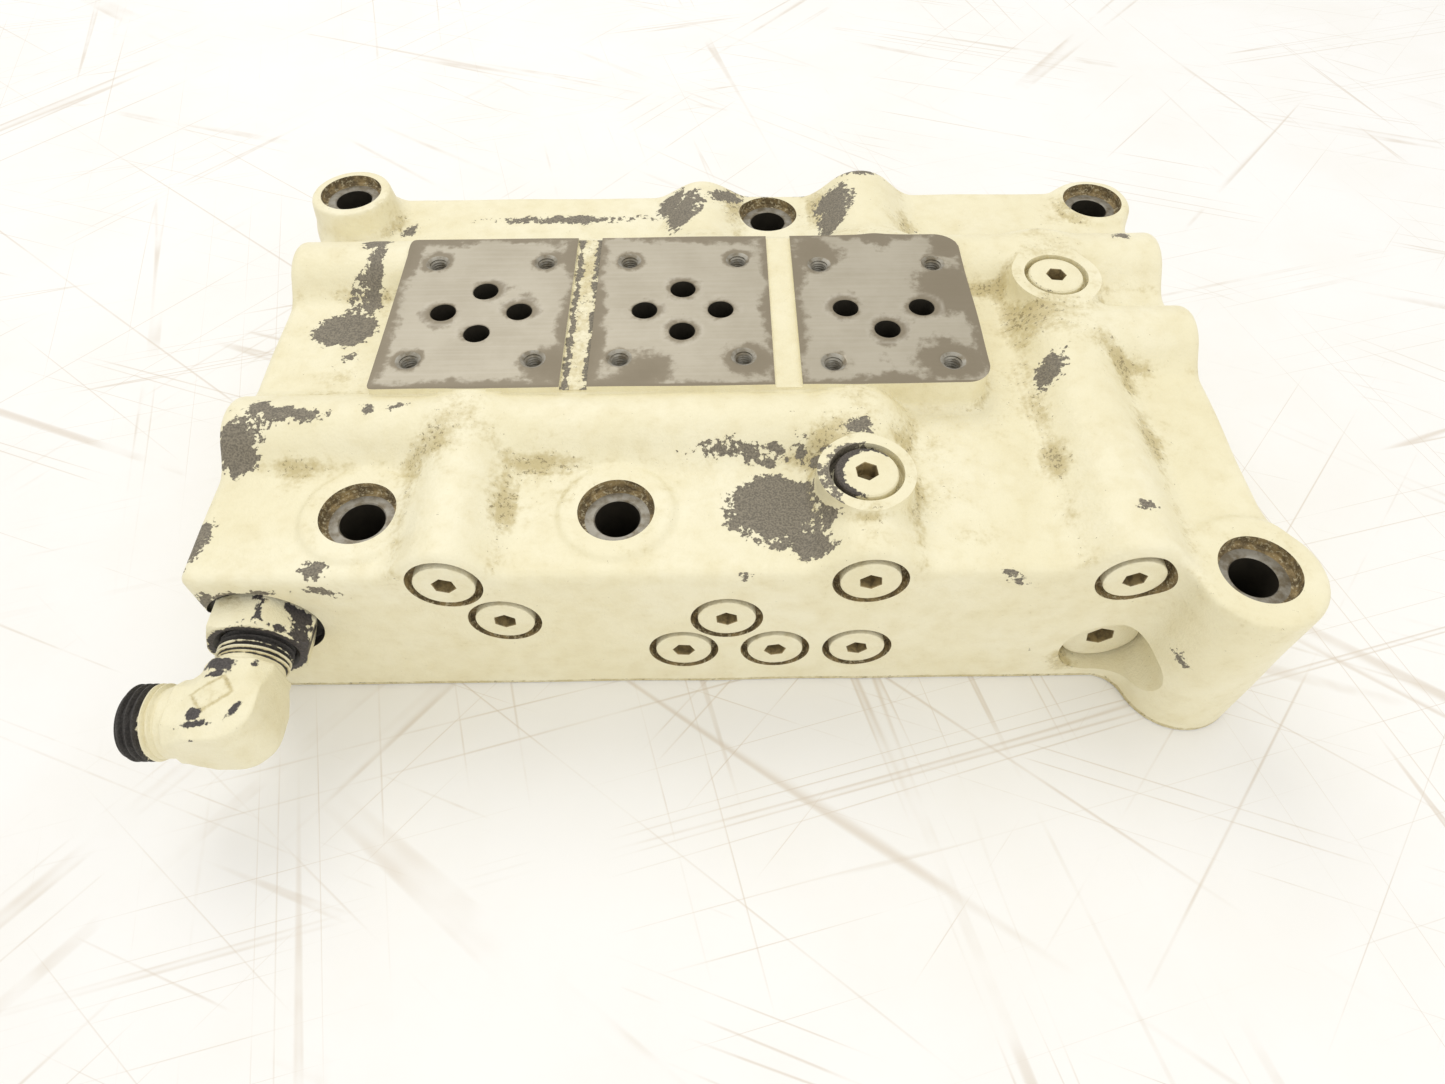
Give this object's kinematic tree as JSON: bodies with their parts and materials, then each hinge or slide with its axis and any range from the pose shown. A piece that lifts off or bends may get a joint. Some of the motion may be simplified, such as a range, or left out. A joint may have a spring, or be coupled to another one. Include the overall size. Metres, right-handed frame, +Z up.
{
  "type": "hydraulic valve manifold",
  "caption": "Cast hydraulic manifold with a row of machined valve pads, hex-socket port plugs in its front face, counterbored mounting holes and a swivelling tube elbow.",
  "frame": {"origin": "on the flat base face, straight below the centre of the middle valve station", "axes": "+X to the right along the row of valve pads, +Y from the plugged front face to the rear, +Z up out of the valve pads"},
  "size_m": [0.2706, 0.1921, 0.06],
  "materials": {
    "cast_iron_painted": "satin",
    "plug_steel_painted": "satin",
    "elbow_steel_painted": "satin",
    "nut_steel_painted": "satin",
    "washer_steel": "satin",
    "seal_rubber": "matte"
  },
  "bodies": {
    "manifold": {"manifold_body": "cast_iron_painted", "front_plug_1": "plug_steel_painted", "front_plug_2": "plug_steel_painted", "front_plug_3": "plug_steel_painted", "front_plug_4": "plug_steel_painted", "front_plug_5": "plug_steel_painted", "front_plug_6": "plug_steel_painted", "front_plug_7": "plug_steel_painted", "front_plug_8": "plug_steel_painted", "low_plug": "plug_steel_painted", "top_plug_front": "plug_steel_painted", "top_plug_rear": "plug_steel_painted", "front_seal_1": "seal_rubber", "front_seal_2": "seal_rubber", "front_seal_3": "seal_rubber", "front_seal_4": "seal_rubber", "front_seal_5": "seal_rubber", "front_seal_6": "seal_rubber", "front_seal_7": "seal_rubber", "front_seal_8": "seal_rubber", "low_seal": "seal_rubber", "top_seal_front": "seal_rubber", "top_seal_rear": "seal_rubber", "elbow_seal": "seal_rubber"},
    "elbow": {"elbow_body": "elbow_steel_painted"},
    "washer": {"backup_washer": "washer_steel"},
    "nut": {"lock_nut": "nut_steel_painted"}
  },
  "joints": [
    {"name": "elbow_swivel", "type": "hinge", "parent": "manifold", "child": "elbow", "pos_m": [-0.1014, -0.083, 0.0323], "axis": [0, -1, 0], "range_deg": [-180, 180]},
    {"name": "nut_travel", "type": "slide", "parent": "manifold", "child": "washer", "axis": [0, -1, 0], "range_m": [0, 0.00134]},
    {"name": "lock_nut_turn", "type": "hinge", "parent": "washer", "child": "nut", "pos_m": [-0.1014, -0.083, 0.0323], "axis": [0, -1, 0], "range_deg": [0, 360]}
  ],
  "couplings": [
    {"joint": "nut_travel", "follows": "lock_nut_turn", "m_per_rad": 0.00021279}
  ]
}
